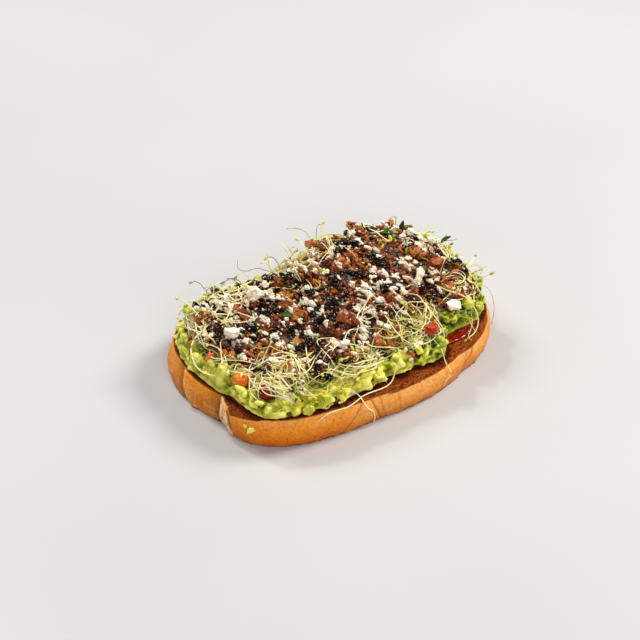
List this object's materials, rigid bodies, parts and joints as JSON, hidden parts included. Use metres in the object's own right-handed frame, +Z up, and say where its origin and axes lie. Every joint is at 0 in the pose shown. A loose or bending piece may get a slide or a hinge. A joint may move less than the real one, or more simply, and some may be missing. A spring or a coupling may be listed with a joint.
{
  "type": "avocado toast",
  "caption": "Thick slice of plaited loaf, toasted, spread with tomato and avocado mash and heaped with sprouts, crumbs, nuts and cheese, to eat or to dress a table.",
  "frame": {"origin": "middle of the slice's flat underside", "axes": "+X along the slice, towards the higher end of its heap; +Y across it; +Z up, out of the toasted face"},
  "size_m": [0.1556, 0.109, 0.0399],
  "materials": {
    "toasted_bread": "egg-washed crust, satin, with a dry toasted face",
    "tomato_spread": "wet and glossy",
    "avocado": "moist, softly glossy mash",
    "sprouts": "translucent satin strands",
    "crumbs": "dry crunchy crumbs with glossy glaze",
    "tomato": "wet cut flesh",
    "feta": "dry and crumbly",
    "nuts": "candied, half glossy",
    "glaze": "black, sticky and mirror-glossy",
    "herbs": "fresh cut leaf, satin",
    "onion": "wet, half translucent"
  },
  "bodies": {
    "root": {"bread_slice": "toasted_bread", "tomato_spread": "tomato_spread", "avocado_mash": "avocado", "sprout_heap": "sprouts", "crumb_topping": "crumbs", "tomato_dice_1": "tomato", "tomato_dice_2": "tomato", "tomato_dice_3": "tomato", "avocado_chunk_1": "avocado", "avocado_chunk_2": "avocado", "feta_chunk_1": "feta", "feta_chunk_2": "feta", "feta_chunk_3": "feta", "feta_chunk_4": "feta", "nut_chunk_1": "nuts", "nut_chunk_2": "nuts", "nut_chunk_3": "nuts", "nut_chunk_4": "nuts"}
  },
  "joints": []
}
